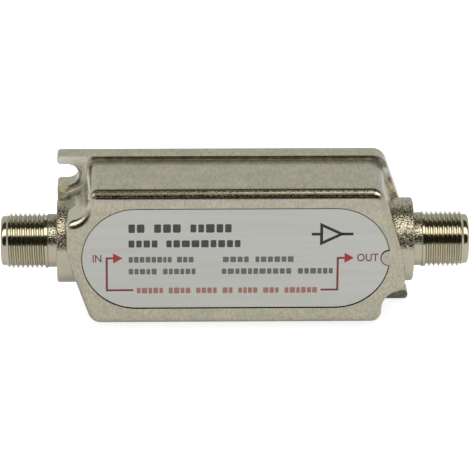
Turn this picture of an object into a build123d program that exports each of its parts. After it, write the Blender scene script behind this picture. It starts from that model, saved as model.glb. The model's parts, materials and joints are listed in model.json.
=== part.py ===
from build123d import *
import os
from math import cos, radians, sin, tan

# An in-line aerial amplifier: a die-cast case with a threaded coaxial port at each end,
# a foil label on its front, a pressed cover in its back and one circuit board inside.
# The case stands on its long lower edge. X runs from the input port to the output port,
# -Y is the labelled front and Z is up. The origin lies on the floor under the middle.
# All pieces are built about the ports' axis and lifted once, when they are written.

# Case, outside. Every length is in millimetres and every angle in degrees.
BODY_LENGTH = 60.3
BODY_HEIGHT = 27.1
BODY_DEPTH = 15.6
FLANGE_THICKNESS = 3.1
FLANGE_LIP = 0.76
FLANGE_END_LIP = 1.0
FLANGE_SLOPE_LIP = 0.83
FLANGE_EDGE_RADIUS = 0.15
FLANGE_ROOT_RADIUS = 0.12
FIT = 0.01
DRAFT = 2.0
END_SLOPE = 19.0
SLOPE_KNEE_HEIGHT = -0.55
CORNER_RADIUS = 2.6
KNEE_RADIUS = 5.0
FACE_EDGE_RADIUS = 1.85
SCOOP_EDGE_RADIUS = 1.75

# Fixing slots in the flange and the scoops that clear their screw heads
SLOT_WIDTH = 3.6
SLOT_FROM_END = 1.85
SLOT_FROM_EDGE = 3.37
SLOT_MOUTH_RADIUS = 0.7
SCOOP_RADIUS = 3.1

# Ports
COLLAR_STEP = 0.7
COLLAR_EDGE_RADIUS = 0.35
PORT_REACH = 9.5
NECK_LENGTH = 1.45
NECK_STEP = 0.16
PILOT_LENGTH = 0.95
PILOT_EDGE_RADIUS = 0.6
THREAD_RADIUS = 4.7
THREAD_DEPTH = 0.44
THREAD_PITCH = 0.794
THREAD_CREST = 0.1
THREAD_ROOT = 0.18
PILOT_STEP = 0.03
THREAD_OVERRUN = 0.05
PORT_WALL = 1.06
PORT_SEAT_LIP = 0.7
PORT_MOUTH_CHAMFER = 0.25

# Case, inside
SIDE_WALL = 1.7
FRONT_WALL = 1.9
SCOOP_WALL = 1.5
CAVITY_CORNER_RADIUS = 1.2
COVER_LEDGE = 0.8
COVER_SINK = 0.3
STAKE_RADIUS = 1.1
STAKE_GRIP = 0.45
BOSS_RADIUS = 2.1

# Label and its recess
LABEL_END_MARGIN = 2.9
LABEL_MARGIN = 3.3
LABEL_THICKNESS = 0.2
LABEL_RECESS = 0.32
LABEL_GAP = 0.2
LABEL_NOTCH_RADIUS = 1.5

# Rear cover
COVER_THICKNESS = 0.8
COVER_GAP = 0.08
COVER_PANEL_MARGIN = 3.2
COVER_PANEL_DEPTH = 0.4

# Insulators and centre contacts
GUIDE_RECESS = 0.7
GUIDE_THICKNESS = 2.2
GUIDE_HOLE_RADIUS = 0.6
GUIDE_FUNNEL_RADIUS = 1.7
GUIDE_FUNNEL_DEPTH = 0.9
HOLDER_THICKNESS = 3.0
INSULATOR_GAP = 0.03
CONTACT_WALL = 0.43
CONTACT_GRIP = 0.16
CONTACT_SOCKET_LENGTH = 5.0
CONTACT_SLIT = 0.16
CONTACT_SLIT_LENGTH = 3.6
CONTACT_SHANK_RADIUS = 0.7
CONTACT_GAP = 0.02
TAIL_RADIUS = 0.35
TAIL_LENGTH = 3.6

# Circuit board, its copper and its screws
BOARD_THICKNESS = 1.0
BOARD_GAP = 0.4
PART_GAP = 0.4
TRACK_THICKNESS = 0.07
TRACK_WIDTH = 1.8
FEED_WIDTH = 0.9
PAD_LENGTH = 1.3
PAD_MARGIN = 0.15
GROUND_PAD_RADIUS = 2.3
SCREW_RADIUS = 1.0
SCREW_END_GAP = 1.5
SCREW_HEAD_RADIUS = 1.8
SCREW_HEAD_HEIGHT = 1.2
SCREW_GAP = 0.03
SCREW_HOLE_GAP = 0.15
SCREW_DRIVE_WIDTH = 0.5
SCREW_DRIVE_LENGTH = 2.2
SCREW_DRIVE_DEPTH = 0.6

# Chip capacitors and resistors
CHIP_LENGTH = 2.0
CHIP_WIDTH = 1.25
CAPACITOR_HEIGHT = 0.9
RESISTOR_HEIGHT = 0.5
CHIP_CAP_LENGTH = 0.4

# Transistors and regulator
TRANSISTOR_LENGTH = 4.5
TRANSISTOR_WIDTH = 2.5
TRANSISTOR_HEIGHT = 1.5
REGULATOR_LENGTH = 6.5
REGULATOR_WIDTH = 3.5
REGULATOR_HEIGHT = 1.7
LEAD_WIDTH = 0.6
LEAD_LENGTH = 1.1
LEAD_THICKNESS = 0.35
LEAD_COUNT = 3
CASE_CHAMFER_SHARE = 0.12

# Chokes, diode and smoothing capacitor
CHOKE_LENGTH = 6.0
CHOKE_FLANGE = 0.8
CHOKE_RADIUS = 2.0
CHOKE_WAIST_RADIUS = 1.0
WIRE_RADIUS = 0.19
WIRE_GAP = 0.06
WINDING_PITCH = 0.85
WINDING_END_GAP = 0.15
DIODE_LENGTH = 4.3
DIODE_WIDTH = 2.6
DIODE_HEIGHT = 2.2
CAN_RADIUS = 2.0
CAN_HEADROOM = 1.25
CAN_EDGE_RADIUS = 0.4
CAN_BASE_WIDTH = 4.4
CAN_BASE_THICKNESS = 0.4
SOLDER_RADIUS = 0.85

# Planes and reaches that follow from the sizes above
FRONT = -BODY_DEPTH / 2
BACK = BODY_DEPTH / 2
FLANGE_FRONT = BACK - FLANGE_THICKNESS
HALF_LENGTH = BODY_LENGTH / 2
HALF_HEIGHT = BODY_HEIGHT / 2
SLOPE = radians(END_SLOPE)
SLOPE_REACH = HALF_LENGTH * cos(SLOPE) + SLOPE_KNEE_HEIGHT * sin(SLOPE)
DRAFT_GROWTH = (BODY_DEPTH - FLANGE_THICKNESS) * tan(radians(DRAFT))
FACE_HALF_LENGTH = HALF_LENGTH - FLANGE_END_LIP - DRAFT_GROWTH
FACE_HALF_HEIGHT = HALF_HEIGHT - FLANGE_LIP - DRAFT_GROWTH
FACE_SLOPE_REACH = SLOPE_REACH - FLANGE_SLOPE_LIP - DRAFT_GROWTH
LABEL_LENGTH = 2 * (FACE_HALF_LENGTH - LABEL_END_MARGIN)
LABEL_HEIGHT = 2 * (FACE_HALF_HEIGHT - LABEL_MARGIN)
SLOT_X = HALF_LENGTH - SLOT_FROM_END
SLOT_Z = HALF_HEIGHT - SLOT_FROM_EDGE
PORT_TIP = HALF_LENGTH + PORT_REACH
COLLAR_RADIUS = BODY_DEPTH / 2 - COLLAR_STEP
THREAD_ROOT_RADIUS = THREAD_RADIUS - THREAD_DEPTH
PORT_BORE_RADIUS = THREAD_ROOT_RADIUS - PORT_WALL
PORT_SEAT_RADIUS = PORT_BORE_RADIUS - PORT_SEAT_LIP
CONTACT_BORE_RADIUS = GUIDE_HOLE_RADIUS - CONTACT_GRIP
CONTACT_RADIUS = CONTACT_BORE_RADIUS + CONTACT_WALL
CAVITY_FRONT = FRONT + FRONT_WALL
CAVITY_END = FACE_HALF_LENGTH - SIDE_WALL
COVER_SEAT = BACK - COVER_SINK - COVER_THICKNESS
TRACK_FACE = -TAIL_RADIUS
BOARD_BACK = TRACK_FACE - TRACK_THICKNESS
BOARD_FRONT = BOARD_BACK - BOARD_THICKNESS
BORE_SEAT = HALF_LENGTH - SIDE_WALL
BOARD_HALF_LENGTH = CAVITY_END - BOARD_GAP
BOARD_HALF_HEIGHT = FACE_HALF_HEIGHT - SIDE_WALL - BOARD_GAP
SCREW_LENGTH = BOARD_BACK - CAVITY_FRONT - SCREW_END_GAP
CAN_FOOT = TRACK_FACE + CAN_BASE_THICKNESS
CAN_HEIGHT = COVER_SEAT - COVER_PANEL_DEPTH - CAN_HEADROOM - CAN_FOOT

# Rows of parts on the board, seen from the front: heights above the signal path
CHOKE_ROW = BOARD_HALF_HEIGHT - PART_GAP - CAN_BASE_WIDTH / 2
RESISTOR_ROW = CHOKE_ROW - CAN_BASE_WIDTH / 2 - PART_GAP - CHIP_WIDTH / 2
REGULATOR_ROW = PART_GAP + LEAD_LENGTH + REGULATOR_WIDTH / 2 - BOARD_HALF_HEIGHT
BYPASS_ROW = REGULATOR_ROW + REGULATOR_WIDTH / 2 + PART_GAP + CHIP_WIDTH / 2
DIODE_ROW = PART_GAP + DIODE_WIDTH / 2 - BOARD_HALF_HEIGHT
SCREW_ROW = BOARD_HALF_HEIGHT - PART_GAP - GROUND_PAD_RADIUS

# Places along the board, as shares of its half length
SCREW_SHARE = 0.72
STAKE_SHARES = [-0.45, 0, 0.45]
COUPLING_SHARES = [-0.74, 0, 0.74]
TRANSISTOR_SHARES = [-0.40, 0.40]
BYPASS_SHARES = [-0.52, -0.16, 0.28, 0.52]
RESISTOR_SHARES = [-0.30, -0.16, 0.20, 0.54]
CHOKE_SHARE = 0.47
CAN_SHARE = 0
REGULATOR_SHARE = 0.08
DIODE_SHARE = -0.36


def facing(y):
    """The plane at depth y that faces the front: local x is X and local y is Z."""
    return Plane.XZ.offset(-y)


def rod_x(radius, start, end, y=0, z=0):
    """A round bar along X."""
    length = abs(end - start)
    return Pos((start + end) / 2, y, z) * Rot(0, 90, 0) * Cylinder(radius, length)


def rod_y(radius, start, end, x=0, z=0):
    """A round bar along Y."""
    length = abs(end - start)
    return Pos(x, (start + end) / 2, z) * Rot(90, 0, 0) * Cylinder(radius, length)


def block(x, z, length, width, start, end):
    """A box centred at x and z, from depth start to depth end."""
    return Pos(x, (start + end) / 2, z) * Box(length, abs(end - start), width)


def turned(shape):
    """The shape and its copy, half a turn about the Y axis."""
    return [shape, Rot(0, 180, 0) * shape]


def near(face, x, z):
    """The corner of a flat outline on its plane that lies nearest to (x, z)."""
    return face.vertices().sort_by_distance((x, face.center().Y, z))[0]


def outline(y, half_length, half_height, slope_reach, corner_radius, knee_radius):
    """The six-sided outline of the case: two ends are square, two lean in."""
    knee = (slope_reach - half_length * cos(SLOPE)) / sin(SLOPE)
    top = (slope_reach - half_height * sin(SLOPE)) / cos(SLOPE)
    half = [(-half_length, half_height), (top, half_height), (half_length, knee)]
    points = half + [(-x, -z) for x, z in half]
    face = facing(y) * make_face(Polyline(*points, close=True))
    for x, z in ((top, half_height), (-top, -half_height)):
        face = fillet(near(face, x, z), corner_radius)
    for x, z in ((half_length, knee), (-half_length, -knee)):
        face = fillet(near(face, x, z), knee_radius)
    return face


def pocket_outline(y, radius):
    """The plan of a scoop: a round about the slot's centre, open to the end and the top."""
    reach = HALF_HEIGHT
    room = Pos(-SLOT_X, SLOT_Z) * Circle(radius)
    room += Pos(-SLOT_X - reach / 2, SLOT_Z + (reach - radius) / 2) * Rectangle(reach, reach + radius)
    room += Pos(-SLOT_X + (radius - reach) / 2, SLOT_Z + reach / 2) * Rectangle(reach + radius, reach)
    return facing(y) * room


def make_flange():
    """The mounting flange round the back, with its two open-ended fixing slots."""
    plate = outline(BACK, HALF_LENGTH, HALF_HEIGHT, SLOPE_REACH, CORNER_RADIUS, KNEE_RADIUS)
    slot = Pos(-SLOT_X, SLOT_Z) * Circle(SLOT_WIDTH / 2)
    slot += Pos(-SLOT_X - SLOT_WIDTH, SLOT_Z) * Rectangle(2 * SLOT_WIDTH, SLOT_WIDTH)
    for cut in turned(facing(BACK) * slot):
        plate -= cut
    for side in (-1, 1):
        for z in (HALF_HEIGHT, SLOT_Z + SLOT_WIDTH / 2, SLOT_Z - SLOT_WIDTH / 2):
            plate = fillet(near(plate, side * HALF_LENGTH, -side * z), SLOT_MOUTH_RADIUS)
    flange = extrude(plate, FLANGE_THICKNESS)
    rim = flange.faces().sort_by(Axis.Y)[0].edges()
    return fillet(rim, FLANGE_EDGE_RADIUS)


def make_body():
    """The drafted box of the case with its rounded front edge, and the scoops with theirs."""
    half_length = HALF_LENGTH - FLANGE_END_LIP
    half_height = HALF_HEIGHT - FLANGE_LIP
    reach = SLOPE_REACH - FLANGE_SLOPE_LIP
    base = outline(FLANGE_FRONT, half_length, half_height, reach, CORNER_RADIUS, KNEE_RADIUS)
    body = extrude(base, BODY_DEPTH - FLANGE_THICKNESS, taper=DRAFT)
    body = fillet(body.faces().sort_by(Axis.Y)[0].edges(), FACE_EDGE_RADIUS)
    scoop = extrude(pocket_outline(FLANGE_FRONT, SCOOP_RADIUS), BODY_DEPTH, taper=-DRAFT)
    for cut in turned(scoop):
        body -= cut
        walls = [face for face in body.faces() if cut.distance_to(face.position_at(0.5, 0.5)) < FIT]
        edges = [edge for wall in walls for edge in wall.edges() if edge.center().Y < FLANGE_FRONT - FIT]
        rim = [edge for edge in edges if sum(edge.is_same(other) for other in edges) == 1]
        body = fillet(rim, SCOOP_EDGE_RADIUS)
    return body


def make_barrel():
    """The output port's barrel: a plain neck, the thread and a rounded pilot."""
    thread_start = HALF_LENGTH + NECK_LENGTH
    pilot_start = PORT_TIP - PILOT_LENGTH
    root = THREAD_ROOT_RADIUS
    flank = (THREAD_PITCH - THREAD_CREST) / 2
    floor = THREAD_ROOT / 2
    height = THREAD_DEPTH + THREAD_OVERRUN
    brow = floor + (flank - floor) * height / THREAD_DEPTH
    helix = Helix(THREAD_PITCH, pilot_start - thread_start + THREAD_PITCH, root)
    groove = make_face(Polyline((0, -floor), (height, -brow), (height, brow), (0, floor), close=True))
    groove = Plane(helix @ 0, x_dir=(1, 0, 0), z_dir=helix % 0) * groove
    groove = Pos(thread_start + flank, 0, 0) * Rot(0, 90, 0) * sweep(groove, path=helix, is_frenet=True)
    barrel = rod_x(THREAD_RADIUS, 0, PORT_TIP + PILOT_LENGTH + THREAD_PITCH) - groove
    pilot = root - PILOT_STEP
    neck = THREAD_RADIUS - NECK_STEP
    profile = make_face(
        Polyline(
            (FACE_HALF_LENGTH, 0),
            (FACE_HALF_LENGTH, neck),
            (thread_start, neck),
            (thread_start + NECK_STEP + THREAD_DEPTH, THREAD_RADIUS + THREAD_DEPTH),
            (pilot_start - 2 * THREAD_DEPTH - PILOT_STEP, THREAD_RADIUS + THREAD_DEPTH),
            (pilot_start, pilot),
            (PORT_TIP, pilot),
            (PORT_TIP, 0),
            close=True,
        )
    )
    nose = profile.vertices().sort_by_distance((PORT_TIP, pilot, 0))[0]
    return barrel & revolve(fillet(nose, PILOT_EDGE_RADIUS), Axis.X)


def make_port():
    """The output port with its neck and outer collar, bored for its insulators."""
    collar = rod_x(COLLAR_RADIUS, FACE_HALF_LENGTH, HALF_LENGTH)
    collar = fillet(collar.edges().sort_by(Axis.X)[-1], COLLAR_EDGE_RADIUS)
    return make_barrel() + collar - make_port_bore()


def make_port_bore():
    """The room inside a port: the insulators' bore, its mouth and the seat's hole."""
    mouth_radius = PORT_BORE_RADIUS + PORT_MOUTH_CHAMFER
    bore = rod_x(PORT_BORE_RADIUS, BORE_SEAT, PORT_TIP)
    bore += rod_x(PORT_SEAT_RADIUS, 0, BORE_SEAT)
    return bore + mouth_cone(PORT_TIP, mouth_radius, PORT_BORE_RADIUS, PORT_MOUTH_CHAMFER)


def mouth_cone(x, outer_radius, inner_radius, depth):
    """A cone that narrows from its wide end at x towards the case."""
    cone = Cone(outer_radius, inner_radius, depth, align=(Align.CENTER, Align.CENTER, Align.MIN))
    return Pos(x, 0, 0) * Rot(0, -90, 0) * cone


def cavity_outline(y, margin):
    """The plan of the room inside the case, grown by the margin."""
    wall = SIDE_WALL - margin
    face = outline(
        y,
        FACE_HALF_LENGTH - wall,
        FACE_HALF_HEIGHT - wall,
        FACE_SLOPE_REACH - wall,
        CAVITY_CORNER_RADIUS,
        KNEE_RADIUS,
    )
    for cut in turned(pocket_outline(y, SCOOP_RADIUS + DRAFT_GROWTH + SCOOP_WALL - margin)):
        face -= cut
    return face


def stadium(y, length, height):
    """A slot-shaped outline centred on the ports' axis."""
    return facing(y) * SlotOverall(length, height)


def label_outline(y, gap):
    """The label's outline grown by the gap, with its key notch at the output end."""
    face = stadium(y, LABEL_LENGTH + 2 * gap, LABEL_HEIGHT + 2 * gap)
    notch = Pos(LABEL_LENGTH / 2, 0) * Circle(LABEL_NOTCH_RADIUS - gap)
    return face - facing(y) * notch


def row(shares, z):
    """Places on the board at one height, from shares of its half length."""
    return [(share * BOARD_HALF_LENGTH, z) for share in shares]


def screw_places():
    """The four places where a screw holds the board to a boss."""
    shares = [-SCREW_SHARE, SCREW_SHARE]
    return row(shares, SCREW_ROW) + row(shares, -SCREW_ROW)


def make_shell():
    """Flange and body in one, with the small round in the corner between them."""
    flange = make_flange()
    body = make_body()
    shell = flange + body
    plane_edges = shell.edges().filter_by_position(Axis.Y, FLANGE_FRONT - FIT, FLANGE_FRONT + FIT)
    corner = [edge for edge in plane_edges if body.distance_to(edge.center()) < FIT]
    return fillet(corner, FLANGE_ROOT_RADIUS)


def make_housing():
    """The die-cast case in one piece with its flange, collars and threaded ports."""
    case = make_shell()
    scoop = extrude(pocket_outline(FLANGE_FRONT, SCOOP_RADIUS), BODY_DEPTH, taper=-DRAFT)
    for collar in turned(rod_x(COLLAR_RADIUS, 0, FACE_HALF_LENGTH)):
        for cut in turned(scoop):
            collar -= cut
        case += collar
    case -= extrude(cavity_outline(BACK, 0), BACK - CAVITY_FRONT)
    case -= extrude(cavity_outline(BACK, COVER_LEDGE), BACK - COVER_SEAT)
    for x, z in screw_places():
        case += rod_y(BOSS_RADIUS, CAVITY_FRONT - FRONT_WALL / 2, BOARD_FRONT, x, z)
        case -= rod_y(SCREW_RADIUS + SCREW_GAP, CAVITY_FRONT, BOARD_FRONT, x, z)
    case -= extrude(label_outline(FRONT + LABEL_RECESS, LABEL_GAP), LABEL_RECESS)
    for bore in turned(make_port_bore()):
        case -= bore
    for port in turned(make_port()):
        case += port
    for nib in make_stakes():
        case += nib
    return case


def make_stakes():
    """The nibs of the case's rim that are pressed over the cover's edge."""
    edge = FACE_HALF_HEIGHT - SIDE_WALL + COVER_LEDGE
    nibs = []
    z = edge + STAKE_RADIUS - STAKE_GRIP
    for share in STAKE_SHARES:
        nib = rod_y(STAKE_RADIUS, COVER_SEAT + COVER_THICKNESS, BACK, share * HALF_LENGTH, z)
        nibs += turned(nib)
    return nibs


def make_rear_cover():
    """The pressed sheet cover, with a shallow sunk panel."""
    plate = extrude(cavity_outline(COVER_SEAT + COVER_THICKNESS, COVER_LEDGE - COVER_GAP), COVER_THICKNESS)
    outer = COVER_SEAT + COVER_THICKNESS
    margin = COVER_LEDGE - COVER_PANEL_MARGIN
    panel = extrude(cavity_outline(outer, margin), COVER_PANEL_DEPTH)
    lining = extrude(cavity_outline(COVER_SEAT, margin + COVER_PANEL_DEPTH), COVER_PANEL_DEPTH)
    return plate + lining - panel


def make_label():
    """The foil label that lies in the front recess."""
    back = FRONT + LABEL_RECESS
    return extrude(label_outline(back, 0), LABEL_THICKNESS)


def make_entry_guide():
    """The insulator in the port's mouth, with a funnel that leads a wire in."""
    outer = PORT_TIP - GUIDE_RECESS
    guide = rod_x(PORT_BORE_RADIUS - INSULATOR_GAP, outer - GUIDE_THICKNESS, outer)
    guide -= rod_x(GUIDE_HOLE_RADIUS, outer - GUIDE_THICKNESS, outer)
    return guide - mouth_cone(outer, GUIDE_FUNNEL_RADIUS, GUIDE_HOLE_RADIUS, GUIDE_FUNNEL_DEPTH)


def make_contact_holder():
    """The insulator at the inner end of the port, which carries the centre contact."""
    holder = rod_x(PORT_BORE_RADIUS - INSULATOR_GAP, BORE_SEAT, BORE_SEAT + HOLDER_THICKNESS)
    return holder - rod_x(CONTACT_SHANK_RADIUS + CONTACT_GAP, BORE_SEAT, BORE_SEAT + HOLDER_THICKNESS)


def make_centre_contact():
    """The slit socket that grips the plug's wire, with its shank and solder tail."""
    base = BORE_SEAT + HOLDER_THICKNESS
    tip = PORT_TIP - GUIDE_RECESS - GUIDE_THICKNESS
    socket = rod_x(CONTACT_RADIUS, base, tip)
    socket -= rod_x(CONTACT_BORE_RADIUS, tip - CONTACT_SOCKET_LENGTH, tip)
    slit = (CONTACT_SLIT_LENGTH, CONTACT_SLIT, 2 * CONTACT_RADIUS)
    for angle in (0, 90):
        socket -= Pos(tip - CONTACT_SLIT_LENGTH / 2, 0, 0) * Rot(angle, 0, 0) * Box(*slit)
    shank = rod_x(CONTACT_SHANK_RADIUS, BORE_SEAT, base)
    tail = rod_x(TAIL_RADIUS, CAVITY_END - TAIL_LENGTH, BORE_SEAT)
    return socket + shank + tail


def make_board():
    """The circuit board, cut to the room inside the case, with its screw holes."""
    board = extrude(cavity_outline(BOARD_BACK, -BOARD_GAP), BOARD_THICKNESS)
    for x, z in screw_places():
        board -= rod_y(SCREW_RADIUS + SCREW_HOLE_GAP, BOARD_FRONT, BOARD_BACK, x, z)
    return board


def make_screw(x, z):
    """A pan-head screw from the board's back face into its boss."""
    shank = rod_y(SCREW_RADIUS, BOARD_BACK - SCREW_LENGTH, TRACK_FACE, x, z)
    head = rod_y(SCREW_HEAD_RADIUS, TRACK_FACE, TRACK_FACE + SCREW_HEAD_HEIGHT, x, z)
    crown = head.edges().sort_by(Axis.Y)[-1]
    head = fillet(crown, SCREW_HEAD_HEIGHT / 2)
    top = TRACK_FACE + SCREW_HEAD_HEIGHT
    for length, width in ((SCREW_DRIVE_LENGTH, SCREW_DRIVE_WIDTH), (SCREW_DRIVE_WIDTH, SCREW_DRIVE_LENGTH)):
        head -= block(x, z, length, width, top - SCREW_DRIVE_DEPTH, top)
    return head + shank


def copper(x, z, length, width):
    """One flat patch of copper on the board's back face."""
    return block(x, z, length, width, BOARD_BACK, TRACK_FACE)


def signal_gaps():
    """The stretches of the signal path that the parts on it bridge, as centre and length."""
    gaps = [(share, CHIP_LENGTH - 2 * CHIP_CAP_LENGTH) for share in COUPLING_SHARES]
    gaps += [(share, TRANSISTOR_LENGTH - 2 * PAD_LENGTH) for share in TRANSISTOR_SHARES]
    return sorted((share * BOARD_HALF_LENGTH, length) for share, length in gaps)


def make_tracks():
    """The copper: signal path, supply feed, pads and the screws' ground rings."""
    reach = CAVITY_END - TAIL_LENGTH + PAD_LENGTH
    ends = [-reach]
    for centre, length in signal_gaps():
        ends += [centre - length / 2, centre + length / 2]
    ends.append(reach)
    pieces = []
    for i in range(0, len(ends), 2):
        pieces.append(copper((ends[i] + ends[i + 1]) / 2, 0, ends[i + 1] - ends[i], TRACK_WIDTH))
    feed_reach = CHOKE_SHARE * BOARD_HALF_LENGTH - CHOKE_LENGTH / 2
    pieces.append(copper(0, CHOKE_ROW, 2 * feed_reach, FEED_WIDTH))
    for x, z in row(BYPASS_SHARES, BYPASS_ROW) + row(RESISTOR_SHARES, RESISTOR_ROW):
        offset = (CHIP_LENGTH - CHIP_CAP_LENGTH) / 2
        for centre in (x - offset, x + offset):
            pieces.append(copper(centre, z, CHIP_CAP_LENGTH + PAD_MARGIN, CHIP_WIDTH + PAD_MARGIN))
    for x, z in screw_places():
        ring = rod_y(GROUND_PAD_RADIUS, BOARD_BACK, TRACK_FACE, x, z)
        pieces.append(ring - rod_y(SCREW_RADIUS + SCREW_HOLE_GAP, BOARD_BACK, TRACK_FACE, x, z))
    return pieces


def make_chips(places, height):
    """Chip bodies that lie along X at the places, between their metal ends."""
    length = CHIP_LENGTH - 2 * CHIP_CAP_LENGTH
    return [block(x, z, length, CHIP_WIDTH, TRACK_FACE, TRACK_FACE + height) for x, z in places]


def make_chip_caps(places, height):
    """The metal end caps of the chips at the places."""
    offset = (CHIP_LENGTH - CHIP_CAP_LENGTH) / 2
    caps = []
    for x, z in places:
        for side in (-1, 1):
            centre = x + side * offset
            caps.append(block(centre, z, CHIP_CAP_LENGTH, CHIP_WIDTH, TRACK_FACE, TRACK_FACE + height))
    return caps


def make_case(x, z, length, width, height):
    """A moulded component body with softened upper edges, standing on the copper."""
    body = block(x, z, length, width, TRACK_FACE, TRACK_FACE + height)
    return chamfer(body.faces().sort_by(Axis.Y)[-1].edges(), CASE_CHAMFER_SHARE * height)


def make_leads(x, z, length, width):
    """The flat leads that come out of the lower side of a moulded body."""
    pitch = length / LEAD_COUNT
    top = TRACK_FACE + LEAD_THICKNESS
    leads = []
    for i in range(LEAD_COUNT):
        lead_x = x + (i - (LEAD_COUNT - 1) / 2) * pitch
        lead_z = z - (width + LEAD_LENGTH) / 2
        leads.append(block(lead_x, lead_z, LEAD_WIDTH, LEAD_LENGTH, TRACK_FACE, top))
    return leads


def make_choke_core(x, z):
    """A ferrite drum that lies along X on the copper."""
    y = TRACK_FACE + CHOKE_RADIUS
    start = x - CHOKE_LENGTH / 2
    end = x + CHOKE_LENGTH / 2
    core = rod_x(CHOKE_WAIST_RADIUS, start, end, y, z)
    core += rod_x(CHOKE_RADIUS, start, start + CHOKE_FLANGE, y, z)
    core += rod_x(CHOKE_RADIUS, end - CHOKE_FLANGE, end, y, z)
    return core


def make_choke_winding(x, z):
    """The wire wound round the drum's waist, as one open helix."""
    radius = CHOKE_WAIST_RADIUS + WIRE_GAP + WIRE_RADIUS
    length = CHOKE_LENGTH - 2 * (CHOKE_FLANGE + WINDING_END_GAP + WIRE_RADIUS)
    helix = Helix(WINDING_PITCH, length, radius)
    wire = sweep(Plane(helix @ 0, z_dir=helix % 0) * Circle(WIRE_RADIUS), path=helix, is_frenet=True)
    print("least gap between turns", round(WINDING_PITCH - 2 * WIRE_RADIUS, 3))
    return Pos(x - length / 2, TRACK_FACE + CHOKE_RADIUS, z) * Rot(0, 90, 0) * wire


def make_can(x, z):
    """The smoothing capacitor's metal can on its square base."""
    can = rod_y(CAN_RADIUS, CAN_FOOT, CAN_FOOT + CAN_HEIGHT, x, z)
    return fillet(can.edges().sort_by(Axis.Y)[-1], CAN_EDGE_RADIUS)


def make_can_base(x, z):
    """The square moulded base under the smoothing capacitor's can."""
    return block(x, z, CAN_BASE_WIDTH, CAN_BASE_WIDTH, TRACK_FACE, CAN_FOOT)


def make_solder():
    """The solder over both contact tails."""
    x = CAVITY_END - TAIL_LENGTH + SOLDER_RADIUS
    dome = Pos(x, TRACK_FACE, 0) * Sphere(SOLDER_RADIUS)
    dome &= block(x, 0, 2 * SOLDER_RADIUS, 2 * SOLDER_RADIUS, TRACK_FACE, TRACK_FACE + SOLDER_RADIUS)
    dome -= rod_x(TAIL_RADIUS, CAVITY_END - TAIL_LENGTH, BORE_SEAT)
    dome -= block(x, 0, 2 * SOLDER_RADIUS, TAIL_RADIUS, TRACK_FACE, 0)
    return turned(dome)


def make_parts():
    """Every node of the amplifier by name, about the ports' axis."""
    guide = make_entry_guide()
    holder = make_contact_holder()
    contact = make_centre_contact()
    coupling = row(COUPLING_SHARES, 0)
    bypass = row(BYPASS_SHARES, BYPASS_ROW)
    resistors = row(RESISTOR_SHARES, RESISTOR_ROW)
    transistors = row(TRANSISTOR_SHARES, 0)
    input_choke, can, output_choke = row([-CHOKE_SHARE, CAN_SHARE, CHOKE_SHARE], CHOKE_ROW)
    regulator = row([REGULATOR_SHARE], REGULATOR_ROW)[0]
    diode = row([DIODE_SHARE], DIODE_ROW)[0]
    transistor_size = (TRANSISTOR_LENGTH, TRANSISTOR_WIDTH)
    regulator_size = (REGULATOR_LENGTH, REGULATOR_WIDTH)
    parts = {
        "housing": [make_housing()],
        "rear_cover": [make_rear_cover()],
        "front_label": [make_label()],
        "input_contact_holder": [turned(holder)[1]],
        "output_contact_holder": [holder],
        "input_entry_guide": [turned(guide)[1]],
        "output_entry_guide": [guide],
        "input_centre_contact": [turned(contact)[1]],
        "output_centre_contact": [contact],
        "circuit_board": [make_board()],
        "board_tracks": make_tracks(),
        "board_screws": [make_screw(x, z) for x, z in screw_places()],
        "solder_joints": make_solder(),
        "coupling_capacitors": make_chips(coupling, CAPACITOR_HEIGHT),
        "bypass_capacitors": make_chips(bypass, CAPACITOR_HEIGHT),
        "bias_resistors": make_chips(resistors, RESISTOR_HEIGHT),
        "chip_end_caps": make_chip_caps(coupling + bypass, CAPACITOR_HEIGHT)
        + make_chip_caps(resistors, RESISTOR_HEIGHT),
        "input_stage_transistor": [make_case(*transistors[0], *transistor_size, TRANSISTOR_HEIGHT)],
        "output_stage_transistor": [make_case(*transistors[1], *transistor_size, TRANSISTOR_HEIGHT)],
        "transistor_leads": make_leads(*transistors[0], *transistor_size)
        + make_leads(*transistors[1], *transistor_size),
        "voltage_regulator": [make_case(*regulator, *regulator_size, REGULATOR_HEIGHT)],
        "regulator_leads": make_leads(*regulator, *regulator_size),
        "surge_diode": [make_case(*diode, DIODE_LENGTH, DIODE_WIDTH, DIODE_HEIGHT)],
        "smoothing_capacitor": [make_can(*can)],
        "capacitor_base": [make_can_base(*can)],
        "input_choke_core": [make_choke_core(*input_choke)],
        "output_choke_core": [make_choke_core(*output_choke)],
        "input_choke_winding": [make_choke_winding(*input_choke)],
        "output_choke_winding": [make_choke_winding(*output_choke)],
    }
    return parts


os.makedirs("parts", exist_ok=True)
for name, pieces in make_parts().items():
    node = Pos(0, 0, HALF_HEIGHT) * Compound(children=pieces)
    export_step(node, f"parts/{name}.step")
    print(name, len(node.solids()), "solids", round(node.volume, 2), "mm3")
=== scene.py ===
"""The looks of an in-line aerial amplifier: a nickel-plated case, two ports and a foil label."""

import json
import logging
import math
import random
from dataclasses import dataclass, field
from enum import Enum

import bmesh
import bpy
from mathutils import Matrix, Vector

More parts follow.
